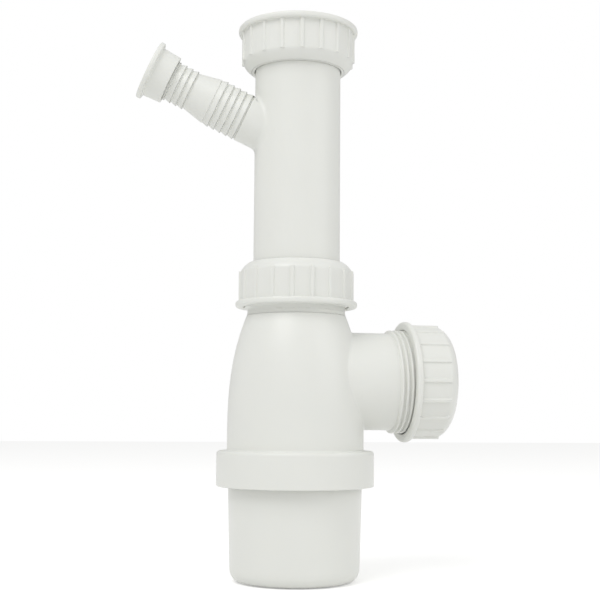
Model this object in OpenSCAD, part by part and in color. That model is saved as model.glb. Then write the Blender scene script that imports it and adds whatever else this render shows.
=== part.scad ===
// Bottle trap for a sink, moulded in white plastic, with a telescopic inlet pipe,
// a capped hose nozzle on the pipe and a side outlet along +X.
// Sizes are in millimetres. The centre of the cup's flat base is the origin.

/* [Pipe] */
// Outer diameter of the inlet pipe, and of the waste pipe that the outlet takes
pipe_d = 40; // [38:0.5:40.8]
// Wall of the inlet pipe
pipe_wall = 2; // [1.5:0.1:3]
// Length of the inlet pipe from its dip end to the face of its flange
pipe_len = 210.4; // [200:1:230]
// Height of the dip end above the base of the cup
dip_h = 30; // [22:1:45]
// Diameter of the flange at the top of the inlet pipe
pipe_flange_d = 46.4; // [44:0.2:47]
// Thickness of that flange
pipe_flange_t = 3; // [2:0.25:4]

/* [Bottle] */
// Outer diameter of the bottle above its skirt
body_d = 62.2; // [58:0.5:66]
// Wall of the bottle
body_wall = 2.4; // [1.8:0.1:3]
// Height of the straight part of the body above the skirt
body_straight = 5.1; // [3:0.5:10]
// Height over which the body draws in from its full width to the neck
shoulder_h = 57.1; // [54:1:70]
// How late the shoulder draws in: 2 is an even curve, more is squarer
shoulder_power = 2.7; // [2:0.1:3.2]
// Length of the neck above the shoulder
neck_len = 15.9; // [14.4:0.5:22]
// Height of the outlet's axis above the top of the skirt
outlet_rise = 31.8; // [29:0.5:34]
// Distance from the bottle's axis to the end of the outlet
outlet_reach = 63; // [60:0.5:80]

/* [Skirt and cup] */
// Wall of the skirt round the cup's thread
skirt_wall = 3.55; // [2.4:0.05:4]
// Height of the skirt
skirt_h = 16; // [13:0.5:20]
// Thickness of the skirt's top, which the cup's seal bears on
skirt_top_t = 2.5; // [2:0.25:4]
// Rounding of the skirt's upper edge
skirt_round = 1.7; // [1:0.1:2.2]
// Outer diameter of the cup at its rim
cup_d = 60.7; // [58:0.5:62]
// How much narrower the cup is at the top of its rounded corner
cup_taper = 2.3; // [0:0.1:4]
// Height of the cup, base to rim
cup_h = 53.3; // [46:0.5:62]
// Wall and floor of the cup
cup_wall = 2.2; // [1.6:0.1:3]
// Radius of the corner between the cup's wall and its base
cup_corner_r = 6.5; // [4:0.5:10]
// Pitch of the cup's thread
cup_pitch = 4; // [3.5:0.25:5]
// Depth of the cup's thread
cup_thread_depth = 1.6; // [1:0.1:1.8]
// Thickness of the flat seal on the cup's rim
cup_seal_t = 2.5; // [1.5:0.25:3.5]

/* [Coupling thread] */
// Crest diameter of the male coupling threads
thread_d = 47.8; // [47.6:0.1:48.4]
// Pitch of the coupling threads
thread_pitch = 2.309; // [2:0.1:3]
// Depth of the coupling threads
thread_depth = 1.45; // [1.1:0.05:1.5]
// Length of thread on the outlet
outlet_thread_len = 20.6; // [16:0.5:21]
// Plain length left under the thread on the neck
neck_runout = 1; // [0.5:0.1:2]

/* [Coupling nut] */
// Height of a coupling nut
nut_h = 20.8; // [19:0.2:24]
// Diameter of the bead round the nut's open end
nut_bead_d = 56.1; // [54.5:0.2:60]
// Height of that bead
nut_bead_h = 2.8; // [2:0.2:4]
// Diameter of the nut between its ribs
nut_panel_d = 51.7; // [51.2:0.1:52.4]
// Number of grip ribs round a nut
rib_count = 18; // [12:1:24]
// How far a rib stands out
rib_h = 0.8; // [0.4:0.1:1.2]
// Width of a rib at its crest
rib_w = 1.3; // [0.8:0.1:2]
// Height of the rounded shoulder at the nut's closed end
nut_shoulder_h = 4.6; // [3:0.2:5]
// Width of that shoulder
nut_shoulder_w = 4.5; // [3:0.1:4.6]
// Rounding of the bead's edges
nut_bead_round = 1.2; // [0.6:0.1:1.3]
// Thickness of the nut's closed end
nut_end_t = 2.8; // [2:0.1:3.4]
// Depth of the nut's plain bore, past its thread, at the closed end
nut_relief_h = 6; // [5.6:0.1:7]

/* [Seals] */
// Thickness of the flat gasket on the pipe's flange
gasket_t = 2.5; // [1.5:0.1:2.6]
// Thickness of a cone washer's flange
cone_flange_t = 3.2; // [2.4:0.1:3.6]
// Length of the cone washer's nose inside the mouth
cone_nose = 2; // [1.4:0.1:2.6]
// Depth of the coned mouth that a cone washer sits in
mouth_depth = 3; // [2.8:0.1:4]
// Thickness of a slip ring
slip_ring_t = 1.8; // [1.2:0.1:2]

/* [Hose nozzle] */
// Distance from the flange's face down to where the nozzle's axis crosses the pipe's
nozzle_drop = 40.3; // [38:0.5:60]
// Rise of the nozzle above the horizontal, in degrees
nozzle_angle = 24.5; // [15:0.5:40]
// Bore of the nozzle
nozzle_bore_d = 13; // [8:0.5:14]
// Distance from the pipe's axis to the first barb
nozzle_root_len = 28.6; // [27:0.2:36]
// Diameter of the nozzle's plain root
nozzle_root_d = 22.2; // [21.4:0.1:22.6]
// Crest diameter of the large barbs
big_barb_d = 22.7; // [21.8:0.1:24]
// Spacing of the large barbs
big_barb_pitch = 3.2; // [2.6:0.1:4]
// Number of large barbs
big_barb_count = 5; // [3:1:7]
// Length of the cone between the large and the small barbs
nozzle_cone_len = 10.9; // [8:0.1:14]
// Crest diameter of the small barbs
small_barb_d = 18.9; // [17.6:0.1:20]
// Spacing of the small barbs
small_barb_pitch = 3; // [2.4:0.1:3.6]
// Number of small barbs
small_barb_count = 6; // [5:1:7]
// Height of a barb
barb_h = 0.8; // [0.5:0.1:1.2]

/* [Nozzle cap] */
// Wall of the cap at its open edge
cap_wall = 1.5; // [1:0.1:2.5]
// Length of the cap over the nozzle
cap_depth = 8.8; // [6:0.2:14]
// Diameter of the cap's flange
cap_flange_d = 27.6; // [25.6:0.2:32]
// Thickness of the cap's flange and closed end
cap_flange_t = 2.3; // [1.5:0.1:4]

/* [Clearances] */
// Radial gap between the pipe and the bottle's bores
bore_clear = 0.6; // [0.5:0.02:0.7]
// Radial gap between the pipe and the hole of a nut
hole_clear = 0.4; // [0.3:0.02:0.6]
// Radial gap between the pipe and a slip ring
ring_clear = 0.35; // [0.25:0.02:0.5]
// Radial gap between the pipe and a cone washer
seal_clear = 0.22; // [0.1:0.02:0.3]
// Radial gap over the crests of a thread
thread_clear = 0.2; // [0.15:0.01:0.4]
// Radial gap over the crests of the cup's thread
cup_clear = 0.3; // [0.2:0.02:0.5]
// Radial gap between the cap and the nozzle's small barbs
cap_clear = 0.3; // [0.2:0.02:0.5]
// Gap between a cone washer and its coned mouth
cone_clear = 0.15; // [0.1:0.01:0.2]

/* [Hidden] */
$fn = 96;
// Overshoot of a cutting shape past the face it cuts
over = 1;
// How deep a ridge is rooted in the wall that carries it
root_sink = 0.4;
// How far a nut's ribs run on past the start of its shoulder
rib_lap = 0.3;
// Steps in one turn of a thread, in a quarter round and along the shoulder
turn_steps = 36;
round_steps = 6;
shoulder_steps = 20;
// Share of a turn over which a thread rises from its root at each end
thread_fade = 0.1;
// Softening of plain edges
edge = 0.5;
// Half widths of a thread ridge at its root and at its crest, as shares of the pitch
ridge_base = 0.38;
ridge_crest = 0.11;
// Exponent of the nut's shoulder, where 2 would be an ellipse's quarter
shoulder_bend = 1.45;
// Radius where the body meets the top of the skirt
skirt_fillet = 1;
// Wall left at the lip of a coned mouth
mouth_lip = 0.6;
// How far a cone washer and a slip ring stay inside a thread's crests
washer_inset = 0.8;
ring_inset = 1;
// Land on the crest of a barb, and the steep drop at the end of its ramp
barb_land = 0.4;
barb_drop = 0.2;
// How far the cone's big end lies inside the crests of the large barbs
cone_step = 0.35;
// Length of the groove between the nozzle's root and its first barb
root_groove = 0.6;
// Plain length past the last barb
tip_land = 1;
// How much wider the cap's wall is at its flange than at its open edge
cap_flare = 0.5;

plastic = [0.93, 0.94, 0.92];
rubber = [0.16, 0.16, 0.17];

pipe_r = pipe_d / 2;
bore_r = pipe_r + bore_clear;
thread_r = thread_d / 2;
tube_r = thread_r - thread_depth;
mouth_r = tube_r - mouth_lip;
pipe_top = dip_h + pipe_len;

cup_r = cup_d / 2;
cup_thread_r = cup_r + cup_thread_depth;
skirt_bore_r = cup_thread_r + cup_clear;
skirt_r = skirt_bore_r + skirt_wall;
ledge_z = cup_h + cup_seal_t;
skirt_top = ledge_z + skirt_top_t;
skirt_foot = skirt_top - skirt_h;

body_r = body_d / 2;
straight_top = skirt_top + body_straight;
neck_foot = straight_top + shoulder_h;
neck_top = neck_foot + neck_len;
outlet_z = skirt_top + outlet_rise;

nut_bore_r = thread_r + thread_clear;
nut_hole_r = pipe_r + hole_clear;
nut_inside = nut_h - nut_end_t;
stack_t = cone_flange_t + slip_ring_t;
neck_nut_z = neck_top + stack_t - nut_inside;
outlet_nut_x = outlet_reach + stack_t - nut_inside;
top_nut_z = pipe_top - pipe_flange_t + nut_inside;

nozzle_z = pipe_top - nozzle_drop;
barb_root_r = big_barb_d / 2 - barb_h;
tip_root_r = small_barb_d / 2 - barb_h;
cone_start = nozzle_root_len + big_barb_count * big_barb_pitch;
tip_start = cone_start + nozzle_cone_len;
nozzle_end = tip_start + small_barb_count * small_barb_pitch + tip_land;
cap_bore_r = small_barb_d / 2 + cap_clear;

// Points of a quarter round of radius r about [x, z], from angle a0 to a1
function arc(x, z, r, a0, a1) = [for (i = [0 : round_steps])
    let (a = a0 + (a1 - a0) * i / round_steps) [x + r * cos(a), z + r * sin(a)]];

// Radius of the bottle at share t of the way up its shoulder
function shoulder_r(t) = body_r - (body_r - tube_r) * pow(t, shoulder_power);

// A turned solid from half of its section, given as [radius, height] points
module turned(section) {
    rotate_extrude()
        polygon(section);
}

// A flat ring with softened outer corners
module flat_ring(r_in, r_out, z, t, soft) {
    turned([[r_in, z], [r_out - soft, z], [r_out, z + soft], [r_out, z + t - soft],
        [r_out - soft, z + t], [r_in, z + t]]);
}

// A right-hand ridge of sloping flanks wound round the axis from height z0 to z1.
// It is rooted under the wall at root_r and fades into it at both ends.
module thread_ridge(root_r, depth, pitch, z0, z1) {
    base = ridge_base * pitch;
    crest = ridge_crest * pitch;
    n = floor((z1 - z0 - 2 * base) / pitch * turn_steps);
    fade = thread_fade * turn_steps;
    points = [for (i = [0 : n])
        let (a = 360 * i / turn_steps,
            z = z0 + base + pitch * i / turn_steps,
            rise = min(1, i / fade, (n - i) / fade),
            r_in = root_r - root_sink,
            r_out = root_r - root_sink / 2 + (depth + root_sink / 2) * rise)
        each [[r_in * cos(a), r_in * sin(a), z - base], [r_out * cos(a), r_out * sin(a), z - crest],
            [r_out * cos(a), r_out * sin(a), z + crest], [r_in * cos(a), r_in * sin(a), z + base]]];
    sides = [for (i = [0 : n - 1], k = [0 : 3])
        let (p = 4 * i + k, q = 4 * i + (k + 1) % 4)
        each [[p, q, p + 4], [q, q + 4, p + 4]]];
    polyhedron(points, concat([[0, 2, 1], [0, 3, 2]], sides,
        [[4 * n, 4 * n + 1, 4 * n + 2], [4 * n, 4 * n + 2, 4 * n + 3]]), convexity = 10);
}

// A coupling nut about +Z, open end at z = 0 and closed end at nut_h
module coupling_nut() {
    panel_r = nut_panel_d / 2;
    bead_r = nut_bead_d / 2;
    rib_z = nut_bead_h / 2;
    rib_top = nut_h - nut_shoulder_h;
    rib_foot_w = rib_w + rib_h;
    relief_z = nut_inside - nut_relief_h;
    shell = concat([[nut_bore_r + edge, 0]],
        arc(bead_r - nut_bead_round, nut_bead_round, nut_bead_round, -90, 0),
        arc(bead_r - nut_bead_round, nut_bead_h - nut_bead_round, nut_bead_round, 0, 90),
        [[panel_r, nut_bead_h]],
        [for (i = [0 : round_steps])
            let (a = 90 * i / round_steps)
            [panel_r - nut_shoulder_w * (1 - pow(cos(a), shoulder_bend)),
                rib_top + nut_shoulder_h * pow(sin(a), shoulder_bend)]],
        [[nut_hole_r, nut_h], [nut_hole_r, nut_inside],
            [nut_bore_r - edge, nut_inside], [nut_bore_r + edge, nut_inside - 2 * edge],
            [nut_bore_r + edge, relief_z + edge], [nut_bore_r, relief_z],
            [nut_bore_r, edge]]);
    turned(shell);
    for (i = [0 : rib_count - 1])
        rotate(i * 360 / rib_count)
            translate([0, 0, rib_z])
                linear_extrude(rib_top + rib_lap - rib_z)
                    polygon([[panel_r - root_sink, -rib_foot_w / 2], [panel_r + rib_h, -rib_w / 2],
                        [panel_r + rib_h, rib_w / 2], [panel_r - root_sink, rib_foot_w / 2]]);
}

// A cone washer about +Z, with its flange's inner face at z = 0 and its nose below
module cone_washer() {
    slope = (mouth_r - bore_r) / mouth_depth;
    in_r = pipe_r + seal_clear;
    root_r = mouth_r - cone_clear;
    out_r = thread_r - washer_inset;
    turned([[in_r, -cone_nose], [root_r - slope * cone_nose, -cone_nose], [root_r, 0],
        [out_r, 0], [out_r, cone_flange_t - edge], [out_r - edge, cone_flange_t],
        [in_r, cone_flange_t]]);
}

// A slip ring about +Z, resting on the cone washer's flange
module slip_ring() {
    flat_ring(pipe_r + ring_clear, thread_r - ring_inset, cone_flange_t, slip_ring_t, edge);
}

// The outer form of a threaded tube end about +Z, from height z0 to its mouth at z1
module tube_end(z0, z1) {
    turned([[0, z0], [tube_r, z0], [tube_r, z1 - edge], [tube_r - edge, z1], [0, z1]]);
}

// The bore of a tube end with its coned mouth at z1
module tube_bore(z0, z1) {
    slope = (mouth_r - bore_r) / mouth_depth;
    turned([[0, z0], [bore_r, z0], [bore_r, z1 - mouth_depth], [mouth_r, z1],
        [mouth_r + slope * over, z1 + over], [0, z1 + over]]);
}

// Places its children about the outlet's axis, +Z of theirs pointing out along +X
module at_outlet() {
    translate([0, 0, outlet_z])
        rotate([0, 90, 0])
            children();
}

// Places its children about the nozzle's axis, +Z of theirs pointing out along it
module at_nozzle() {
    translate([0, 0, nozzle_z])
        rotate([0, nozzle_angle - 90, 0])
            children();
}

module bottle_form() {
    turned(concat([[0, skirt_foot]],
        arc(skirt_r - edge, skirt_foot + edge, edge, -90, 0),
        arc(skirt_r - skirt_round, skirt_top - skirt_round, skirt_round, 0, 90),
        arc(body_r + skirt_fillet, skirt_top + skirt_fillet, skirt_fillet, -90, -180),
        [for (i = [0 : shoulder_steps])
            let (t = i / shoulder_steps) [shoulder_r(t), straight_top + shoulder_h * t]],
        [[0, neck_foot]]));
    tube_end(neck_foot - over, neck_top);
    at_outlet()
        tube_end(0, outlet_reach);
}

module bottle_hollow() {
    turned(concat([[0, skirt_foot - over], [skirt_bore_r + edge, skirt_foot - over],
        [skirt_bore_r + edge, skirt_foot], [skirt_bore_r, skirt_foot + edge],
        [skirt_bore_r, ledge_z], [body_r - body_wall, ledge_z]],
        [for (i = [0 : shoulder_steps])
            let (t = i / shoulder_steps)
            [max(bore_r, shoulder_r(t) - body_wall), straight_top + shoulder_h * t]],
        [[0, neck_foot]]));
    tube_bore(neck_foot - over, neck_top);
    at_outlet()
        tube_bore(0, outlet_reach);
}

// The body with its neck, side outlet and skirt, and the two male coupling threads
module bottle() {
    color(plastic)
        difference() {
            union() {
                bottle_form();
                thread_ridge(tube_r, thread_depth, thread_pitch, neck_foot + neck_runout, neck_top - edge);
                at_outlet()
                    thread_ridge(tube_r, thread_depth, thread_pitch,
                        outlet_reach - edge - outlet_thread_len, outlet_reach - edge);
            }
            bottle_hollow();
        }
}

// The cup, a tapered pot with a rounded bottom corner and a coarse male thread
module cup() {
    foot_r = cup_r - cup_taper / 2;
    in_corner = cup_corner_r - cup_wall;
    color(plastic)
        union() {
            turned(concat([[0, 0]],
                arc(foot_r - cup_corner_r, cup_corner_r, cup_corner_r, -90, 0),
                [[cup_r, skirt_foot], [cup_r, cup_h - edge], [cup_r - edge, cup_h],
                    [cup_r - cup_wall, cup_h], [cup_r - cup_wall, skirt_foot]],
                arc(foot_r - cup_corner_r, cup_corner_r, in_corner, 0, -90),
                [[0, cup_wall]]));
            thread_ridge(cup_r, cup_thread_depth, cup_pitch, skirt_foot + 2 * edge, cup_h - edge);
        }
}

module cup_seal() {
    color(rubber)
        flat_ring(cup_r - cup_wall + edge, cup_thread_r, cup_h, cup_seal_t, edge / 2);
}

// The outer form of the nozzle: plain root, large barbs, cone, small barbs and tip
module nozzle_form() {
    // Each barb drops away towards the tip, so that a hose pushes on and holds
    function barbs(start, pitch, count, r) = [for (i = [0 : count - 1])
        each [[r, start + i * pitch], [r, start + i * pitch + barb_land],
            [r - barb_h, start + (i + 1) * pitch - barb_drop]]];
    turned(concat([[0, 0], [nozzle_root_d / 2, 0],
        [nozzle_root_d / 2, nozzle_root_len - root_groove - barb_drop],
        [barb_root_r, nozzle_root_len - root_groove], [barb_root_r, nozzle_root_len]],
        barbs(nozzle_root_len, big_barb_pitch, big_barb_count, big_barb_d / 2),
        [[big_barb_d / 2 - cone_step, cone_start], [tip_root_r, tip_start]],
        barbs(tip_start, small_barb_pitch, small_barb_count, small_barb_d / 2),
        [[tip_root_r, nozzle_end - edge], [tip_root_r - edge, nozzle_end], [0, nozzle_end]]));
}

// The telescopic pipe, with its flange and the hose nozzle moulded in one with it
module inlet_pipe() {
    color(plastic)
        difference() {
            union() {
                turned([[0, dip_h], [pipe_r - edge, dip_h], [pipe_r, dip_h + edge],
                    [pipe_r, pipe_top - pipe_flange_t],
                    [pipe_flange_d / 2, pipe_top - pipe_flange_t],
                    [pipe_flange_d / 2, pipe_top], [0, pipe_top]]);
                at_nozzle()
                    nozzle_form();
            }
            translate([0, 0, dip_h - over])
                cylinder(h = pipe_len + 2 * over, r = pipe_r - pipe_wall);
            at_nozzle()
                cylinder(h = nozzle_end + over, r = nozzle_bore_d / 2);
        }
}

module inlet_gasket() {
    color(rubber)
        flat_ring(pipe_r - pipe_wall + edge, pipe_flange_d / 2, pipe_top, gasket_t, edge / 2);
}

// The top nut hangs on the pipe's flange with its open end up, for the sink's waste
module top_nut() {
    color(plastic)
        translate([0, 0, top_nut_z])
            mirror([0, 0, 1])
                coupling_nut();
}

module neck_seal() {
    color(rubber)
        translate([0, 0, neck_top])
            cone_washer();
}

module neck_slip_ring() {
    color(plastic)
        translate([0, 0, neck_top])
            slip_ring();
}

module neck_nut() {
    color(plastic)
        translate([0, 0, neck_nut_z])
            coupling_nut();
}

module outlet_seal() {
    color(rubber)
        at_outlet()
            translate([0, 0, outlet_reach])
                cone_washer();
}

module outlet_slip_ring() {
    color(plastic)
        at_outlet()
            translate([0, 0, outlet_reach])
                slip_ring();
}

module outlet_nut() {
    color(plastic)
        at_outlet()
            translate([0, 0, outlet_nut_x])
                coupling_nut();
}

// The push-on cap, a short cup that widens to a flange round its closed end
module nozzle_cap() {
    seat = nozzle_end - cap_depth;
    edge_r = cap_bore_r + cap_wall;
    flange_r = cap_flange_d / 2;
    color(plastic)
        at_nozzle()
            turned([[cap_bore_r, seat], [edge_r, seat], [edge_r + cap_flare, nozzle_end],
                [flange_r - edge, nozzle_end], [flange_r, nozzle_end + edge],
                [flange_r, nozzle_end + cap_flange_t - edge],
                [flange_r - edge, nozzle_end + cap_flange_t], [0, nozzle_end + cap_flange_t],
                [0, nozzle_end], [cap_bore_r, nozzle_end]]);
}

bottle();
cup();
cup_seal();
inlet_pipe();
inlet_gasket();
top_nut();
neck_seal();
neck_slip_ring();
neck_nut();
outlet_seal();
outlet_slip_ring();
outlet_nut();
nozzle_cap();
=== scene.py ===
"""Looks of a white plastic bottle trap for a sink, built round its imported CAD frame.

The trap stands on its cup with the bottle's axis on Z and the side outlet along +X. Sizes are in
metres, written as millimetres times MM, and places come from the frame's boxes.
"""

import math

import bmesh
import bpy
import numpy as np
from mathutils import Matrix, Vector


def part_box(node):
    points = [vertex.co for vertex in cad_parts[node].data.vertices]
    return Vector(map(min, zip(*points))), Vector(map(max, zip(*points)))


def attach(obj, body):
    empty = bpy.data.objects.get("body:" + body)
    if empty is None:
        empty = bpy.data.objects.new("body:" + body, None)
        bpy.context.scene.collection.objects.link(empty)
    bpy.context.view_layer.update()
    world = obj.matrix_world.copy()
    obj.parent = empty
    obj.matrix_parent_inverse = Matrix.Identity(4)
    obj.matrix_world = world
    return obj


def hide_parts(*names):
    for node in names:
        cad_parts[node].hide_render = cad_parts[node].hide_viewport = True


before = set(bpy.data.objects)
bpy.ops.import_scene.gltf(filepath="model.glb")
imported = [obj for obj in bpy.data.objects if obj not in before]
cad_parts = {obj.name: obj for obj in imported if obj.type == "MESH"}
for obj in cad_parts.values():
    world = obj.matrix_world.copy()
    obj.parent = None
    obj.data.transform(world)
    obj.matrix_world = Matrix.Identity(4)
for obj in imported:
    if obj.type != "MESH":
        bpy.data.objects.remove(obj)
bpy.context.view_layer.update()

MM = 0.001

# Bottle
#
# The body that everything else screws to or pushes into, injection-moulded in one piece in white
# polypropylene: a skirt for the cup, a shoulder that draws in to the neck, and the side outlet.

UPRIGHT = np.array([[0, 0, 0], [1, 0, 0], [0, 1, 0], [0, 0, 1]], float)
TURN = 2 * math.pi


def place(axis, r, angle, s):
    """Points at distance r and angle round an axis, s along it: hub + r cos e1 + r sin e2 + s e3."""
    hub, e1, e2, e3 = axis
    r, angle, s = (a[..., None] for a in np.broadcast_arrays(r, angle, s))
    return hub + r * np.cos(angle) * e1 + r * np.sin(angle) * e2 + s * e3


def outline(corners, steps=6, guard=0.12 * MM):
    """Section line from corners [distance from the axis, place along it, rounding].

    A rounded corner c is the curve (1-u)^2 a + 2u(1-u) c + u^2 b, where a and b lie on its two edges
    at the rounding's distance. One more point just outside each end keeps the flats shaded flat.
    """
    corners = np.array(corners, float)
    at, rounding = corners[:, :2], corners[:, 2:]
    back, on = np.roll(at, 1, 0) - at, np.roll(at, -1, 0) - at
    back, on = (d / np.maximum(np.linalg.norm(d, axis=1, keepdims=True), 1e-9) for d in (back, on))
    a, b = (at + rounding * d for d in (back, on))
    u = np.linspace(0, 1, steps)[None, :, None]
    bend = (1 - u) ** 2 * a[:, None] + 2 * u * (1 - u) * at[:, None] + u**2 * b[:, None]
    edge = guard * (rounding > 0)
    line = np.concatenate([(a + edge * back)[:, None], bend, (b + edge * on)[:, None]], 1).reshape(-1, 2)
    keep = np.linalg.norm(np.diff(line, axis=0), axis=1) > 1e-7
    return line[np.append(True, keep)]


def turned(section, angle, axis=UPRIGHT):
    """Skin swept by a section line [distance, place along] turned round an axis through the angles."""
    return place(axis, section[:, :1], angle[None], section[:, 1:])


def ease(t):
    """Smooth step: 0 below t = 0, 1 above t = 1, and 3t^2 - 2t^3 between them."""
    t = np.clip(t, 0, 1)
    return t * t * (3 - 2 * t)


THREAD_STEPS = 12
RIDGE_BASE = 0.4
RIDGE_CREST = 0.13
RUN_IN = 0.5


def screw(root, depth, pitch, start, end, crest, angle, axis=UPRIGHT):
    """Right-handed thread on a round wall, as rows that run along the helix.

    Row i lies at start + pitch (turn - 1) + i step, held between start and end. The skin stands
    depth times a ridge off the root: the ridge is 1 at a crest, 0 past RIDGE_BASE pitches from it,
    and fades over RUN_IN of a turn at both ends. crest is where one lies at angle 0.
    """
    turns = angle / TURN
    step = pitch / THREAD_STEPS
    row = np.arange(math.ceil((end - start) / step) + THREAD_STEPS + 1)[:, None]
    s = np.clip(start + pitch * (turns - turns[0] - 1) + step * row, start, end)
    away = (s - crest) / pitch - turns
    nearest = crest + pitch * (np.round(away) + turns)
    base = RIDGE_BASE * pitch
    ridge = ease((RIDGE_BASE - np.abs(away - np.round(away))) / (RIDGE_BASE - RIDGE_CREST))
    ridge = ridge * ease((nearest - start - base) / (RUN_IN * pitch))
    ridge = ridge * ease((end - base - nearest) / (RUN_IN * pitch))
    return place(axis, root + depth * ridge, angle, s)


def branch(wall, angles, heights, axis, radius, blend, rows=7):
    """Skin from an opening in a turned wall down to the foot of a round tube that leaves it.

    The opening's edge runs round a rectangle of angles and heights on the wall of radius wall(z), and
    each of its points gives a column, at that point's angle round the tube. A skin point q from the
    tube's axis lies where a line along the tube meets the wall, found by halving. The last rows bend
    onto the tube on a quadratic curve. Returns the skin, the columns' angles and the foot's place.
    """
    side = np.full(len(heights) - 1, 1.0)
    theta = np.concatenate([angles[:-1], angles[-1] * side, angles[:0:-1], angles[0] * side, angles[:1]])
    flat = np.full(len(angles) - 1, 1.0)
    z = np.concatenate([heights[0] * flat, heights[:-1], heights[-1] * flat, heights[:0:-1], heights[:1]])
    edge = place(UPRIGHT, wall(z), theta, z) - axis[0]
    across, up = edge @ axis[1], edge @ axis[2]
    phi = np.unwrap(np.arctan2(up, across))
    reach = np.hypot(across, up)

    def on_wall(q):
        near, far = np.zeros_like(q), np.full_like(q, 3 * wall(z).max())
        for _ in range(44):
            mid = (near + far) / 2
            at = place(axis, q, phi, mid)
            outside = np.hypot(at[..., 0], at[..., 1]) > wall(at[..., 2])
            near, far = np.where(outside, near, mid), np.where(outside, mid, far)
        return near

    share = np.linspace(0, 1, rows)[:, None]
    q = reach + (radius + blend - reach) * share
    skin = place(axis, q, phi, on_wall(q))
    meet = on_wall(np.full_like(phi, radius))
    foot = meet + blend
    u = np.linspace(0, 1, rows)[1:, None, None]
    bend = (1 - u) ** 2 * skin[-1] + 2 * u * (1 - u) * place(axis, radius, phi, meet)
    bend = bend + u**2 * place(axis, radius, phi, foot)
    skin = np.concatenate([skin, bend])
    if phi[-1] < phi[0]:
        return skin[:, ::-1], phi[::-1], foot[::-1]
    return skin, phi, foot


def moulding(name, patches):
    """One closed skin from patches of points [rows, columns, xyz], four neighbours to a face.

    Edges that share their points are welded, slivers left by rows that run together are dissolved,
    and all faces are turned outwards.
    """
    corners, first = [], 0
    for rows, columns, _ in (patch.shape for patch in patches):
        corner = first + np.arange(rows - 1)[:, None] * columns + np.arange(columns - 1)
        corners.append(corner.reshape(-1, 1) + np.array([0, 1, columns + 1, columns]))
        first += rows * columns
    corners = np.concatenate(corners)
    points = np.concatenate([patch.reshape(-1, 3) for patch in patches])
    mesh = bpy.data.meshes.new(name)
    mesh.vertices.add(len(points))
    mesh.vertices.foreach_set("co", points.ravel())
    mesh.loops.add(corners.size)
    mesh.loops.foreach_set("vertex_index", corners.ravel())
    mesh.polygons.add(len(corners))
    mesh.polygons.foreach_set("loop_start", np.arange(0, corners.size, 4))
    mesh.update(calc_edges=True)
    work = bmesh.new()
    work.from_mesh(mesh)
    bmesh.ops.remove_doubles(work, verts=work.verts, dist=0.001 * MM)
    bmesh.ops.dissolve_degenerate(work, edges=work.edges, dist=0.0005 * MM)
    bmesh.ops.recalc_face_normals(work, faces=work.faces)
    work.to_mesh(mesh)
    work.free()
    mesh.shade_smooth()
    piece = bpy.data.objects.new(name, mesh)
    bpy.context.scene.collection.objects.link(piece)
    return piece


# Sizes of the body, from the base of its skirt up
BODY_R = 31.1 * MM
BODY_WALL = 2.4 * MM
SKIRT_BORE_R = 32.25 * MM
SKIRT_TOP_T = 2.5 * MM
SKIRT_ROUND = 1.7 * MM
BODY_STRAIGHT = 5.1 * MM
SHOULDER_H = 57.1 * MM
SHOULDER_POWER = 2.7
# The coupling thread and the tube ends that carry it
THREAD_R = 23.9 * MM
THREAD_DEPTH = 1.45 * MM
THREAD_PITCH = 2.309 * MM
NECK_RUNOUT = 1 * MM
OUTLET_THREAD = 20.6 * MM
TUBE_BORE_R = 20.6 * MM
MOUTH_LIP = 0.6 * MM
MOUTH_DEPTH = 3 * MM
# The cup's thread, in the skirt and on the cup
CUP_PITCH = 4 * MM
SKIRT_THREAD = 1.25 * MM
EDGE = 0.5 * MM
# The opening round the outlet's root, in the wall's columns and rows
BODY_COLUMNS = 192
OUTLET_HALF_COLUMNS = 34
OUTLET_ROWS = 30
OUTLET_MARGIN = 4.4 * MM
OUTLET_BLEND = 1.1 * MM
INNER_BLEND = 0.6 * MM

bottle_low, bottle_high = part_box("bottle")
outlet_low, outlet_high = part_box("outlet_nut")
SKIRT_R = bottle_high.y
SKIRT_FOOT, NECK_TOP, OUTLET_REACH = bottle_low.z, bottle_high.z, bottle_high.x
OUTLET_Z = (outlet_low.z + outlet_high.z) / 2
LEDGE_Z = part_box("cup_seal")[1].z
SKIRT_TOP = LEDGE_Z + SKIRT_TOP_T
STRAIGHT_TOP = SKIRT_TOP + BODY_STRAIGHT
NECK_FOOT = STRAIGHT_TOP + SHOULDER_H
TUBE_R = THREAD_R - THREAD_DEPTH
MOUTH_R = TUBE_R - MOUTH_LIP
AT_OUTLET = np.array([[0, 0, OUTLET_Z], [0, 0, -1], [0, 1, 0], [1, 0, 0]], float)
# Where a crest of each male thread lies at angle 0
NECK_CREST = NECK_FOOT + NECK_RUNOUT + 0.38 * THREAD_PITCH
OUTLET_CREST = OUTLET_REACH - EDGE - OUTLET_THREAD + 0.38 * THREAD_PITCH
CUP_CREST = SKIRT_FOOT + 2 * EDGE + 0.38 * CUP_PITCH


def body_wall(z):
    """Outer radius of the body: it falls from BODY_R to the neck by the height's share to a power."""
    share = np.clip((z - STRAIGHT_TOP) / SHOULDER_H, 0, 1)
    return BODY_R - (BODY_R - TUBE_R) * share**SHOULDER_POWER


def body_lining(z):
    """Inner radius of the body: a wall's thickness inside the outer one, down to the neck's bore."""
    return np.maximum(TUBE_BORE_R, body_wall(z) - BODY_WALL)


def lines(wall, heights):
    """Section points [distance, place along, no rounding] up a wall at the heights given."""
    return [[r, z, 0] for r, z in zip(wall(heights), heights)]


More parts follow.
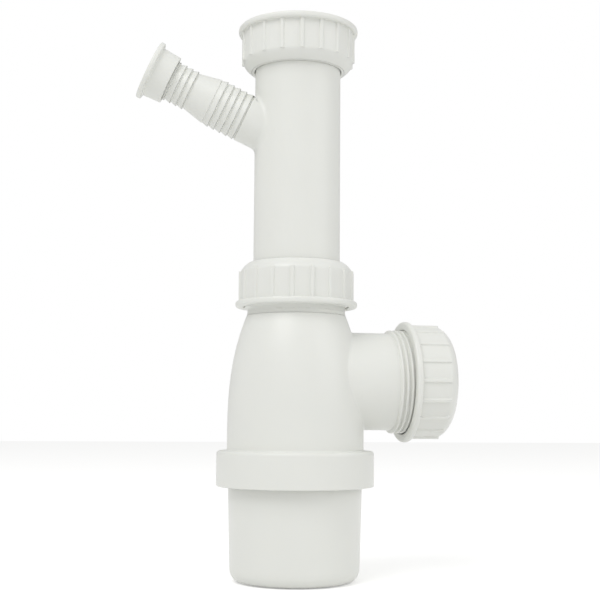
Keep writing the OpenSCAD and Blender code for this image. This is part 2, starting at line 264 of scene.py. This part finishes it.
half_open = OUTLET_HALF_COLUMNS / BODY_COLUMNS * TURN
around = np.linspace(half_open, half_open + TURN, BODY_COLUMNS + 1)
beside, across = around[: BODY_COLUMNS - 2 * OUTLET_HALF_COLUMNS + 1], around[BODY_COLUMNS - 2 * OUTLET_HALF_COLUMNS :]
open_low, open_high = OUTLET_Z - TUBE_R - OUTLET_MARGIN, OUTLET_Z + TUBE_R + OUTLET_MARGIN
open_rows = np.linspace(open_low, open_high, OUTLET_ROWS + 1)
upper_rows = np.linspace(open_high, NECK_FOOT, 6)[:-1]
neck_thread = NECK_FOOT + NECK_RUNOUT, NECK_TOP - EDGE
outlet_thread = OUTLET_REACH - EDGE - OUTLET_THREAD, OUTLET_REACH - EDGE
skirt_thread = SKIRT_FOOT + 2 * EDGE, LEDGE_Z - 2.4 * MM

skirt_out = outline([
    [SKIRT_BORE_R, skirt_thread[0], 0], [SKIRT_BORE_R, SKIRT_FOOT + EDGE, 0.2 * MM],
    [SKIRT_BORE_R + EDGE, SKIRT_FOOT, 0.2 * MM], [SKIRT_R, SKIRT_FOOT, EDGE],
    [SKIRT_R, SKIRT_TOP, SKIRT_ROUND], [BODY_R, SKIRT_TOP, 1 * MM], [BODY_R, open_low, 0]])
neck_out = outline(lines(body_wall, upper_rows) + [
    [TUBE_R, NECK_FOOT, 0.9 * MM], [TUBE_R, neck_thread[0], 0]])
neck_rim = outline([
    [TUBE_R, neck_thread[1], 0], [TUBE_R, NECK_TOP, 0.35 * MM], [MOUTH_R, NECK_TOP, 0.15 * MM],
    [TUBE_BORE_R, NECK_TOP - MOUTH_DEPTH, 0.5 * MM], [TUBE_BORE_R, NECK_FOOT, 0]]
    + lines(body_lining, upper_rows[::-1]))
skirt_in = outline([
    [BODY_R - BODY_WALL, open_low, 0], [BODY_R - BODY_WALL, LEDGE_Z, 0.4 * MM],
    [SKIRT_BORE_R, LEDGE_Z, 0.4 * MM], [SKIRT_BORE_R, skirt_thread[1], 0]])

outer_root, outer_phi, outer_foot = branch(
    body_wall, across, open_rows, AT_OUTLET, TUBE_R, OUTLET_BLEND)
inner_root, inner_phi, inner_foot = branch(
    body_lining, across, open_rows, AT_OUTLET, TUBE_BORE_R, INNER_BLEND)
along = np.linspace(0, 1, 9)[:, None]
lip_r = (TUBE_R + MOUTH_R) / 2
outlet_rim = turned(outline([
    [TUBE_R, outlet_thread[1], 0], [TUBE_R, OUTLET_REACH, 0.25 * MM],
    [lip_r, OUTLET_REACH, 0]]), outer_phi, AT_OUTLET)
outlet_mouth = turned(outline([
    [lip_r - 0.02 * MM, OUTLET_REACH, 0], [MOUTH_R, OUTLET_REACH, 0.15 * MM],
    [TUBE_BORE_R, OUTLET_REACH - MOUTH_DEPTH, 0.5 * MM],
    [TUBE_BORE_R, outlet_thread[0], 0]]), inner_phi, AT_OUTLET)

bottle = moulding("bottle_body", [
    turned(skirt_out, around),
    turned(np.array(lines(body_wall, open_rows))[:, :2], beside),
    turned(neck_out, around),
    screw(TUBE_R, THREAD_DEPTH, THREAD_PITCH, *neck_thread, NECK_CREST, around),
    turned(neck_rim, around),
    turned(np.array(lines(body_lining, open_rows))[:, :2], beside),
    turned(skirt_in, around),
    screw(SKIRT_BORE_R, -SKIRT_THREAD, CUP_PITCH, *skirt_thread, CUP_CREST + CUP_PITCH / 2, around),
    outer_root,
    place(AT_OUTLET, TUBE_R, outer_phi, outer_foot + (outlet_thread[0] - outer_foot) * along),
    screw(TUBE_R, THREAD_DEPTH, THREAD_PITCH, *outlet_thread, OUTLET_CREST, outer_phi, AT_OUTLET),
    outlet_rim,
    np.stack([outlet_rim[-1], outlet_mouth[0]]),
    outlet_mouth,
    place(AT_OUTLET, TUBE_BORE_R, inner_phi, inner_foot + (outlet_thread[0] - inner_foot) * along),
    inner_root])


def linear(sheet_hex):
    """Linear colour from an sRGB hex value: ((c + 0.055) / 1.055) ^ 2.4 above 0.04045, c / 12.92 below."""
    c = np.array([int(sheet_hex[i : i + 2], 16) for i in (0, 2, 4)]) / 255
    return (*np.where(c > 0.04045, ((c + 0.055) / 1.055) ** 2.4, c / 12.92).tolist(), 1.0)


def add(tree, kind, inputs={}, **settings):
    """Adds a node: settings are its properties, inputs are values or the outputs that feed it."""
    made = tree.nodes.new("ShaderNode" + kind)
    for name, value in settings.items():
        setattr(made, name, value)
    for name, value in inputs.items():
        if isinstance(value, bpy.types.NodeSocket):
            tree.links.new(value, made.inputs[name])
        else:
            made.inputs[name].default_value = value
    return made


def polypropylene(name, colour, shade, roughness):
    """Injection-moulded polypropylene, glossy and faintly milky.

    To the eye: a soft sheen rather than a mirror, slow waves where the wall sank as it cooled, a fine
    skin on top of them, and hardly any change of colour.
    """
    material = bpy.data.materials.new(name)
    material.use_nodes = True
    tree = material.node_tree
    shader = tree.nodes["Principled BSDF"]
    where = add(tree, "TexCoord").outputs["Object"]
    waves = add(tree, "TexNoise", {"Vector": where, "Scale": 1 / (16 * MM), "Detail": 1.0})
    skin = add(tree, "TexNoise", {"Vector": where, "Scale": 1 / (0.9 * MM), "Detail": 2.0})
    cloud = add(tree, "TexNoise", {"Vector": where, "Scale": 1 / (30 * MM), "Detail": 3.0})
    tint = add(tree, "Mix", {0: cloud.outputs["Fac"], 6: linear(shade), 7: linear(colour)}, data_type="RGBA")
    gloss = add(tree, "MapRange", {
        "Value": skin.outputs["Fac"], "From Min": 0.3, "From Max": 0.7,
        "To Min": roughness - 0.04, "To Max": roughness + 0.04})
    wavy = add(tree, "Bump", {"Height": waves.outputs["Fac"], "Strength": 1.0, "Distance": 0.05 * MM})
    fine = add(tree, "Bump", {
        "Height": skin.outputs["Fac"], "Strength": 1.0, "Distance": 0.006 * MM,
        "Normal": wavy.outputs["Normal"]})
    tree.links.new(tint.outputs[2], shader.inputs["Base Color"])
    tree.links.new(gloss.outputs["Result"], shader.inputs["Roughness"])
    tree.links.new(fine.outputs["Normal"], shader.inputs["Normal"])
    shader.inputs["IOR"].default_value = 1.49
    shader.inputs["Subsurface Weight"].default_value = 0.12
    shader.inputs["Subsurface Radius"].default_value = (1.0, 0.95, 0.85)
    shader.inputs["Subsurface Scale"].default_value = 1.5 * MM
    return material


def dress(piece, material, body, node):
    """Gives a piece its finish and its place on a body, and hides the CAD node that it stands for."""
    piece.data.materials.clear()
    piece.data.materials.append(material)
    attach(piece, body)
    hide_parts(node)


white_polypropylene = polypropylene("white polypropylene, moulded", "ECEDE8", "E7E8E3", 0.34)
dress(bottle, white_polypropylene, "bottle", "bottle")


# Cup and its seal
#
# The pot under the bottle that is screwed off to clear the trap, moulded in the same polypropylene,
# with a flat ring of black rubber on its rim.

CUP_R = 30.35 * MM
CUP_TAPER = 2.3 * MM
CUP_WALL = 2.2 * MM
CUP_CORNER_R = 6.5 * MM
CUP_THREAD = 1.6 * MM
SEAL_EDGE = 0.25 * MM
GATE_R = 1.6 * MM
GATE_DEPTH = 0.3 * MM

cup_low, cup_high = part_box("cup")
foot_r = CUP_R - CUP_TAPER / 2
cup_thread = SKIRT_FOOT + 2 * EDGE, cup_high.z - EDGE
full_turn = np.linspace(0, TURN, 181)
cup = moulding("cup_pot", [
    turned(outline([
        [0, GATE_DEPTH, 0], [GATE_R, GATE_DEPTH, 0.15 * MM], [GATE_R + 0.2 * MM, 0, 0.15 * MM],
        [foot_r, 0, CUP_CORNER_R], [CUP_R, SKIRT_FOOT, 0.8 * MM], [CUP_R, cup_thread[0], 0]],
        steps=10), full_turn),
    screw(CUP_R, CUP_THREAD, CUP_PITCH, *cup_thread, CUP_CREST, full_turn),
    turned(outline([
        [CUP_R, cup_thread[1], 0], [CUP_R, cup_high.z, 0.4 * MM],
        [CUP_R - CUP_WALL, cup_high.z, 0.3 * MM], [CUP_R - CUP_WALL, SKIRT_FOOT, 1 * MM],
        [foot_r - CUP_WALL, CUP_WALL, CUP_CORNER_R - CUP_WALL], [0, CUP_WALL, 0]],
        steps=10), full_turn)])
dress(cup, white_polypropylene, "cup", "cup")


def rubber(name, colour):
    """Moulded sealing rubber: near black and matt, with a dry, slightly dusty grain."""
    material = bpy.data.materials.new(name)
    material.use_nodes = True
    tree = material.node_tree
    shader = tree.nodes["Principled BSDF"]
    where = add(tree, "TexCoord").outputs["Object"]
    grain = add(tree, "TexNoise", {"Vector": where, "Scale": 1 / (0.35 * MM), "Detail": 4.0})
    bloom = add(tree, "TexNoise", {"Vector": where, "Scale": 1 / (5 * MM), "Detail": 3.0})
    tint = add(tree, "Mix", {0: bloom.outputs["Fac"], 6: linear(colour), 7: linear("3A3A3B")}, data_type="RGBA")
    fine = add(tree, "Bump", {"Height": grain.outputs["Fac"], "Strength": 1.0, "Distance": 0.02 * MM})
    tree.links.new(tint.outputs[2], shader.inputs["Base Color"])
    tree.links.new(fine.outputs["Normal"], shader.inputs["Normal"])
    shader.inputs["Roughness"].default_value = 0.62
    return material


def ring(name, corners, axis=UPRIGHT):
    """A closed ring turned from its corners [distance, place along, rounding], the first repeated."""
    corners = np.array(corners, float)
    start = (corners[0] + corners[-1]) / 2 * [1, 1, 0]
    return moulding(name, [turned(outline([start, *corners, start], steps=5), full_turn, axis)])


def flat_ring(name, node, inner, outer, softness):
    """A flat washer on the Z axis that fills a CAD node's height."""
    low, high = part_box(node)
    return ring(name, [
        [inner, low.z, softness], [outer, low.z, softness], [outer, high.z, softness],
        [inner, high.z, softness]])


black_rubber = rubber("black sealing rubber", "1C1C1D")
cup_seal = flat_ring("cup_seal_ring", "cup_seal", CUP_R - CUP_WALL + EDGE, CUP_R + CUP_THREAD, SEAL_EDGE)
dress(cup_seal, black_rubber, "cup_seal", "cup_seal")


# Inlet pipe
#
# The telescopic pipe that dips into the bottle, moulded in one piece with a flange at its top and a
# hose nozzle at its side: a plain root, five large barbs, a cone and six small barbs.

PIPE_R = 20 * MM
PIPE_WALL = 2 * MM
FLANGE_T = 3 * MM
NOZZLE_DROP = 40.3 * MM
NOZZLE_ANGLE = math.radians(24.5)
NOZZLE_BORE_R = 6.5 * MM
NOZZLE_ROOT_R = 11.1 * MM
NOZZLE_ROOT_LEN = 28.6 * MM
BIG_BARB_R, BIG_BARB_PITCH, BIG_BARBS = 11.35 * MM, 3.2 * MM, 5
SMALL_BARB_R, SMALL_BARB_PITCH, SMALL_BARBS = 9.45 * MM, 3 * MM, 6
NOZZLE_CONE = 10.9 * MM
CONE_STEP = 0.35 * MM
BARB_H = 0.8 * MM
BARB_LAND = 0.4 * MM
BARB_DROP = 0.2 * MM
ROOT_GROOVE = 0.6 * MM
TIP_LAND = 1 * MM
NOZZLE_BLEND = 2.2 * MM
# The opening round the nozzle's root, in the wall's columns and rows
PIPE_COLUMNS = 160
NOZZLE_HALF_COLUMNS = 22
NOZZLE_ROWS = 30

pipe_low, pipe_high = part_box("inlet_pipe")
DIP_END, PIPE_TOP, FLANGE_R = pipe_low.z, pipe_high.z, pipe_high.y
NOZZLE_Z = PIPE_TOP - NOZZLE_DROP
cos_n, sin_n = math.cos(NOZZLE_ANGLE), math.sin(NOZZLE_ANGLE)
AT_NOZZLE = np.array([[0, 0, NOZZLE_Z], [sin_n, 0, cos_n], [0, 1, 0], [-cos_n, 0, sin_n]], float)
CONE_START = NOZZLE_ROOT_LEN + BIG_BARBS * BIG_BARB_PITCH
TIP_START = CONE_START + NOZZLE_CONE
NOZZLE_END = TIP_START + SMALL_BARBS * SMALL_BARB_PITCH + TIP_LAND


def barbs(start, pitch, count, r):
    """Corners of a run of barbs: each starts steep, has a short land and ramps down towards the tip."""
    return [corner for i in range(count) for corner in (
        [r, start + i * pitch, 0.1 * MM], [r, start + i * pitch + BARB_LAND, 0.2 * MM],
        [r - BARB_H, start + (i + 1) * pitch - BARB_DROP, 0.08 * MM])]


half_open = NOZZLE_HALF_COLUMNS / PIPE_COLUMNS * TURN
around = np.linspace(math.pi + half_open, math.pi + half_open + TURN, PIPE_COLUMNS + 1)
beside, across = around[: PIPE_COLUMNS - 2 * NOZZLE_HALF_COLUMNS + 1], around[PIPE_COLUMNS - 2 * NOZZLE_HALF_COLUMNS :]
root_middle = NOZZLE_Z + PIPE_R * math.tan(NOZZLE_ANGLE)
root_half = NOZZLE_ROOT_R / cos_n + NOZZLE_BLEND + 1.6 * MM
open_rows = np.linspace(root_middle - root_half - 1 * MM, root_middle + root_half, NOZZLE_ROWS + 1)
bore_r = PIPE_R - PIPE_WALL


def pipe_wall(z):
    """Outer radius of the pipe, the same at every height."""
    return np.full_like(z, PIPE_R)


def pipe_lining(z):
    """Inner radius of the pipe, the same at every height."""
    return np.full_like(z, bore_r)


outer_root, outer_phi, outer_foot = branch(
    pipe_wall, across, open_rows, AT_NOZZLE, NOZZLE_ROOT_R, NOZZLE_BLEND, rows=9)
inner_root, inner_phi, inner_foot = branch(
    pipe_lining, across, open_rows, AT_NOZZLE, NOZZLE_BORE_R, INNER_BLEND, rows=9)
nozzle_out = outline([
    [NOZZLE_ROOT_R, NOZZLE_ROOT_LEN - 3 * MM, 0],
    [NOZZLE_ROOT_R, NOZZLE_ROOT_LEN - ROOT_GROOVE - BARB_DROP, 0.25 * MM],
    [BIG_BARB_R - BARB_H, NOZZLE_ROOT_LEN - ROOT_GROOVE, 0.1 * MM],
    [BIG_BARB_R - BARB_H, NOZZLE_ROOT_LEN, 0.05 * MM],
    *barbs(NOZZLE_ROOT_LEN, BIG_BARB_PITCH, BIG_BARBS, BIG_BARB_R),
    [BIG_BARB_R - CONE_STEP, CONE_START, 0.15 * MM],
    [SMALL_BARB_R - BARB_H, TIP_START, 0.08 * MM],
    *barbs(TIP_START, SMALL_BARB_PITCH, SMALL_BARBS, SMALL_BARB_R),
    [SMALL_BARB_R - BARB_H, NOZZLE_END, EDGE], [NOZZLE_BORE_R + 1 * MM, NOZZLE_END, 0]], steps=4)
nozzle_tip = turned(nozzle_out, outer_phi, AT_NOZZLE)
nozzle_bore = turned(outline([
    [NOZZLE_BORE_R + 0.9 * MM, NOZZLE_END, 0], [NOZZLE_BORE_R, NOZZLE_END, 0.3 * MM],
    [NOZZLE_BORE_R, CONE_START, 0]]), inner_phi, AT_NOZZLE)
dip_rows = np.linspace(DIP_END + 2 * MM, open_rows[0], 24)
inlet_pipe = moulding("inlet_pipe_moulding", [
    turned(outline(lines(pipe_lining, dip_rows[::-1]) + [
        [bore_r, DIP_END, 0.3 * MM], [PIPE_R, DIP_END, EDGE]] + lines(pipe_wall, dip_rows)), around),
    turned(np.array(lines(pipe_wall, open_rows))[:, :2], beside),
    turned(outline([
        [PIPE_R, open_rows[-1], 0], [PIPE_R, PIPE_TOP - FLANGE_T, 0.5 * MM],
        [FLANGE_R, PIPE_TOP - FLANGE_T, 0.3 * MM], [FLANGE_R, PIPE_TOP, 0.3 * MM],
        [bore_r, PIPE_TOP, 0.6 * MM], [bore_r, open_rows[-1], 0]]), around),
    turned(np.array(lines(pipe_lining, open_rows))[:, :2], beside),
    outer_root,
    place(AT_NOZZLE, NOZZLE_ROOT_R, outer_phi,
          outer_foot + (NOZZLE_ROOT_LEN - 3 * MM - outer_foot) * along[::4]),
    nozzle_tip,
    np.stack([nozzle_tip[-1], nozzle_bore[0]]),
    nozzle_bore,
    place(AT_NOZZLE, NOZZLE_BORE_R, inner_phi, inner_foot + (CONE_START - inner_foot) * along[::2]),
    inner_root])
dress(inlet_pipe, white_polypropylene, "inlet", "inlet_pipe")

inlet_gasket = flat_ring("inlet_gasket_ring", "inlet_gasket", bore_r + EDGE, FLANGE_R, SEAL_EDGE)
dress(inlet_gasket, black_rubber, "inlet", "inlet_gasket")


# Cone washers and slip rings
#
# What makes the neck and the outlet watertight: a rubber washer whose nose sits in the coned mouth,
# and over it a thin plastic ring that lets the nut turn without dragging the rubber round.

CONE_FLANGE_T = 3.2 * MM
CONE_NOSE = 2 * MM
CONE_CLEAR = 0.15 * MM
SEAL_CLEAR = 0.22 * MM
RING_CLEAR = 0.35 * MM
WASHER_INSET = 0.8 * MM
RING_INSET = 1 * MM
SLIP_RING_T = 1.8 * MM

satin_polypropylene = polypropylene("satin polypropylene ring", "E4E4DF", "DEDED8", 0.5)
slope = (MOUTH_R - TUBE_BORE_R) / MOUTH_DEPTH
nose_r = MOUTH_R - CONE_CLEAR
washer_r = THREAD_R - WASHER_INSET
for side, mouth, seal_body in (
        ("neck", place(UPRIGHT, 0, 0, NECK_TOP), "neck_seal"),
        ("outlet", place(AT_OUTLET, 0, 0, OUTLET_REACH), "bottle")):
    axis = np.concatenate([mouth[None], (UPRIGHT if side == "neck" else AT_OUTLET)[1:]])
    washer = ring(f"{side}_cone_washer", [
        [PIPE_R + SEAL_CLEAR, -CONE_NOSE, 0.2 * MM], [nose_r - slope * CONE_NOSE, -CONE_NOSE, 0.2 * MM],
        [nose_r, 0, 0.1 * MM], [washer_r, 0, 0.2 * MM], [washer_r, CONE_FLANGE_T, EDGE],
        [PIPE_R + SEAL_CLEAR, CONE_FLANGE_T, 0.2 * MM]], axis)
    dress(washer, black_rubber, seal_body, f"{side}_seal")
    slip_top = CONE_FLANGE_T + SLIP_RING_T
    slip_ring = ring(f"{side}_slip_ring_moulding", [
        [PIPE_R + RING_CLEAR, CONE_FLANGE_T, 0.15 * MM], [THREAD_R - RING_INSET, CONE_FLANGE_T, EDGE],
        [THREAD_R - RING_INSET, slip_top, EDGE], [PIPE_R + RING_CLEAR, slip_top, 0.15 * MM]], axis)
    dress(slip_ring, satin_polypropylene, f"{side}_slip_ring", f"{side}_slip_ring")


# Coupling nuts
#
# Three like nuts, each moulded with grip ribs, a bead round its open end, a rounded shoulder at its
# closed end and a thread inside. The one at the top hangs on the pipe's flange, open end up.

NUT_PANEL_R = 25.85 * MM
NUT_BEAD_H = 2.8 * MM
NUT_BEAD_ROUND = 1.2 * MM
NUT_SHOULDER_H = 4.6 * MM
NUT_SHOULDER_W = 4.5 * MM
SHOULDER_BEND = 1.45
NUT_END_T = 2.8 * MM
NUT_RELIEF_H = 6 * MM
NUT_HOLE_R = 20.4 * MM
NUT_BORE_R = 24.1 * MM
NUT_THREAD = 1.2 * MM
RIBS = 18
RIB_H = 0.8 * MM
RIB_W = 1.3 * MM
RIB_LAP = 0.3 * MM
RIB_SINK = 0.25 * MM
# Places of a nut's columns, as distances from the nearest rib's middle
RIB_COLUMNS = np.array([0, 0.3, 0.5, 0.62, 0.74, 0.9, 1.04, 1.16, 1.5, 2.3, 3.4]) * MM


def coupling_nut(name, axis, height, rib_turn, crest):
    """A ribbed nut along an axis from its open end, with a thread crest at angle 0 and place crest.

    Its outer skin is the larger of two distances from the axis: the turned section, and the ribs,
    which rise from below the panels to a flat crest and stop just past the start of the shoulder.
    """
    bead_r = bead_width / 2
    rib_top = height - NUT_SHOULDER_H
    inside = height - NUT_END_T
    relief = inside - NUT_RELIEF_H
    columns = np.concatenate([-RIB_COLUMNS[:0:-1], RIB_COLUMNS]) / NUT_PANEL_R
    middles = np.arange(RIBS) * TURN / RIBS
    gap = TURN / RIBS / 2
    angle = np.concatenate([(middles[:, None] + np.append(columns, gap)).ravel(), [TURN + columns[0]]])
    bend = np.radians(np.linspace(0, 90, 12))
    shoulder = np.stack([
        NUT_PANEL_R - NUT_SHOULDER_W * (1 - np.cos(bend) ** SHOULDER_BEND),
        rib_top + NUT_SHOULDER_H * np.sin(bend) ** SHOULDER_BEND, 0 * bend], 1)
    rib_end = rib_top + RIB_LAP
    section = outline([
        [NUT_BORE_R, EDGE, 0], [NUT_BORE_R + EDGE, 0, 0.2 * MM], [bead_r, 0, NUT_BEAD_ROUND],
        [bead_r, NUT_BEAD_H, NUT_BEAD_ROUND], [NUT_PANEL_R, NUT_BEAD_H, 0.3 * MM],
        *[[NUT_PANEL_R, z, 0] for z in np.linspace(NUT_BEAD_H + 1.5 * MM, rib_top - 1 * MM, 8)],
        *shoulder[:-1]])
    near_end = rib_end + np.array([-0.2, -0.05, 0.0, 0.04, 0.12, 0.3]) * MM
    extra = np.stack([np.interp(near_end, section[-14:, 1], section[-14:, 0]), near_end], 1)
    cut = np.searchsorted(section[-14:, 1], near_end[0]) + len(section) - 14
    section = np.concatenate([section[:cut], extra, section[cut:][section[cut:, 1] > near_end[-1]]])
    r, s = section[:, :1], section[:, 1:]
    off = np.abs((angle + gap) % (2 * gap) - gap) * NUT_PANEL_R
    rib = NUT_PANEL_R - RIB_SINK + (RIB_H + RIB_SINK) * ease((RIB_W / 2 + 0.5 * MM - off) / (0.55 * MM))
    skin = np.where((s > NUT_BEAD_H / 2) & (s < rib_end + 0.01 * MM), np.maximum(r, rib), r)
    angle = angle + rib_turn
    end = turned(outline([
        section[-1].tolist() + [0], [NUT_HOLE_R + 0.9 * MM, height, 0.3 * MM],
        [NUT_HOLE_R, height, 0.3 * MM], [NUT_HOLE_R, inside, 0.2 * MM],
        [NUT_BORE_R - EDGE, inside, 0.2 * MM], [NUT_BORE_R + EDGE, inside - 2 * EDGE, 0.2 * MM],
        [NUT_BORE_R + EDGE, relief + EDGE, 0.2 * MM], [NUT_BORE_R, relief, 0]]), angle, axis)
    return moulding(name, [
        place(axis, skin, angle, s), end,
        screw(NUT_BORE_R, -NUT_THREAD, THREAD_PITCH, section[0, 1], relief, crest, angle, axis)])


nut_low, nut_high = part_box("neck_nut")
bead_width, nut_height = nut_high.y - nut_low.y, nut_high.z - nut_low.z
neck_axis = np.concatenate([[[0, 0, nut_low.z]], UPRIGHT[1:]])
neck_nut = coupling_nut(
    "neck_nut_moulding", neck_axis, nut_height, math.radians(-105),
    NECK_CREST + THREAD_PITCH / 2 - nut_low.z)
dress(neck_nut, white_polypropylene, "neck_nut", "neck_nut")

outlet_axis = np.concatenate([[[outlet_low.x, 0, OUTLET_Z]], AT_OUTLET[1:]])
outlet_nut = coupling_nut(
    "outlet_nut_moulding", outlet_axis, nut_height, math.radians(-90),
    OUTLET_CREST + THREAD_PITCH / 2 - outlet_low.x)
dress(outlet_nut, white_polypropylene, "outlet_nut", "outlet_nut")

top_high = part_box("top_nut")[1].z
top_axis = np.array([[0, 0, top_high], [1, 0, 0], [0, -1, 0], [0, 0, -1]], float)
top_nut = coupling_nut("top_nut_moulding", top_axis, nut_height, math.radians(97), THREAD_PITCH)
dress(top_nut, white_polypropylene, "top_nut", "top_nut")


# Nozzle cap
#
# The push-on cap that closes the hose nozzle until a machine is connected, a short moulded cup with
# a flange to pull it off by.

CAP_WALL = 1.5 * MM
CAP_DEPTH = 8.8 * MM
CAP_FLANGE_R = 13.8 * MM
CAP_FLANGE_T = 2.3 * MM
CAP_CLEAR = 0.3 * MM
CAP_FLARE = 0.5 * MM

cap_bore = SMALL_BARB_R + CAP_CLEAR
cap_edge = cap_bore + CAP_WALL
cap_top = NOZZLE_END + CAP_FLANGE_T
cap = moulding("nozzle_cap_moulding", [turned(outline([
    [0, NOZZLE_END, 0], [cap_bore, NOZZLE_END, 0.4 * MM], [cap_bore, NOZZLE_END - CAP_DEPTH, 0.25 * MM],
    [cap_edge, NOZZLE_END - CAP_DEPTH, 0.35 * MM], [cap_edge + CAP_FLARE, NOZZLE_END, 0.7 * MM],
    [CAP_FLANGE_R, NOZZLE_END, 0.8 * MM], [CAP_FLANGE_R, cap_top, 0.9 * MM],
    [GATE_R + 0.2 * MM, cap_top, 0.15 * MM], [GATE_R, cap_top - GATE_DEPTH, 0.15 * MM],
    [0, cap_top - GATE_DEPTH, 0]]), full_turn, AT_NOZZLE)])
dress(cap, white_polypropylene, "nozzle_cap", "nozzle_cap")


# Studio
#
# A pale floor that runs off to white, soft light from above and from both sides, and a camera where
# the photograph was taken from.

FLOOR_SIZE = 6.0
LIGHT_REACH = 1.6


def white_to_camera(name, strength):
    """White floor that looks pure white to the eye and in gloss, darkened only by the object's shade."""
    material = bpy.data.materials.new(name)
    material.use_nodes = True
    tree = material.node_tree
    shader = tree.nodes["Principled BSDF"]
    shader.inputs["Base Color"].default_value = linear("F4F4F3")
    shader.inputs["Roughness"].default_value = 0.9
    shader.inputs["Specular IOR Level"].default_value = 0.0
    ray = add(tree, "LightPath").outputs
    seen = add(tree, "Math", {0: ray["Is Camera Ray"], 1: ray["Is Glossy Ray"]}, operation="MAXIMUM")
    glow = add(tree, "Math", {0: seen.outputs[0], 1: strength}, operation="MULTIPLY")
    shader.inputs["Emission Color"].default_value = (1, 1, 1, 1)
    tree.links.new(glow.outputs[0], shader.inputs["Emission Strength"])
    return material


half = FLOOR_SIZE / 2
floor_mesh = bpy.data.meshes.new("floor")
floor_mesh.from_pydata(
    [(-half, -half, 0), (half, -half, 0), (half, half, 0), (-half, half, 0)], [], [(0, 1, 2, 3)])
floor = bpy.data.objects.new("floor", floor_mesh)
floor_mesh.materials.append(white_to_camera("white studio floor", 0.35))
bpy.context.scene.collection.objects.link(floor)

world = bpy.data.worlds.new("white studio")
bpy.context.scene.world = world
world.use_nodes = True
sky = world.node_tree
paths = add(sky, "LightPath").outputs
seen = add(sky, "Math", {0: paths["Is Camera Ray"], 1: paths["Is Transmission Ray"]}, operation="MAXIMUM")
level = add(sky, "MapRange", {"Value": seen.outputs[0], "To Min": 0.62, "To Max": 1.0})
background = sky.nodes["Background"]
background.inputs["Color"].default_value = (1, 1, 1, 1)
sky.links.new(level.outputs["Result"], background.inputs["Strength"])


def softbox(name, azimuth, elevation, distance, size, power):
    """A square soft light that faces the trap's middle from an azimuth, 0 being the camera's front."""
    target = np.array([0, 0, 0.13])
    a, e = math.radians(azimuth), math.radians(elevation)
    away = np.array([math.sin(a) * math.cos(e), -math.cos(a) * math.cos(e), math.sin(e)])
    data = bpy.data.lights.new(name, "AREA")
    data.shape = "SQUARE"
    data.size = size
    data.energy = power
    light = bpy.data.objects.new(name, data)
    side = np.cross([0, 0, 1], away)
    side /= np.linalg.norm(side)
    turn = np.stack([side, np.cross(away, side), away], 1)
    light.matrix_world = Matrix.Translation(target + away * distance) @ Matrix(turn.tolist()).to_4x4()
    bpy.context.scene.collection.objects.link(light)


softbox("key light, upper left", -42, 48, LIGHT_REACH, 1.0, 9.0)
softbox("fill light, right", 55, 25, LIGHT_REACH, 1.2, 4.0)

# The camera: how far it stands from the bottle's axis, its height, its direction and its lens
VIEW_TURN = math.radians(10.8)
VIEW_DISTANCE = 521.3 * MM
VIEW_HEIGHT = 72.75 * MM
VIEW_YAW, VIEW_PITCH, VIEW_ROLL = math.radians(0.188), math.radians(5.967), math.radians(0.405)
FOCAL_PIXELS = 1135
IMAGE_PIXELS = 600
SENSOR = 36.0

heading = VIEW_TURN + VIEW_YAW
forward = np.array([
    math.sin(heading) * math.cos(VIEW_PITCH), math.cos(heading) * math.cos(VIEW_PITCH),
    math.sin(VIEW_PITCH)])
right = np.array([math.cos(heading), -math.sin(heading), 0])
up = np.cross(right, forward)
rolled_right = math.cos(VIEW_ROLL) * right + math.sin(VIEW_ROLL) * up
rolled_up = math.cos(VIEW_ROLL) * up - math.sin(VIEW_ROLL) * right
camera_data = bpy.data.cameras.new("camera")
camera_data.sensor_width = SENSOR
camera_data.lens = FOCAL_PIXELS / IMAGE_PIXELS * SENSOR
camera = bpy.data.objects.new("camera", camera_data)
stand = (-VIEW_DISTANCE * math.sin(VIEW_TURN), -VIEW_DISTANCE * math.cos(VIEW_TURN), VIEW_HEIGHT)
axes = np.stack([rolled_right, rolled_up, -forward], 1)
camera.matrix_world = Matrix.Translation(stand) @ Matrix(axes.tolist()).to_4x4()
bpy.context.scene.collection.objects.link(camera)
bpy.context.scene.camera = camera
bpy.context.scene.view_settings.view_transform = "Standard"
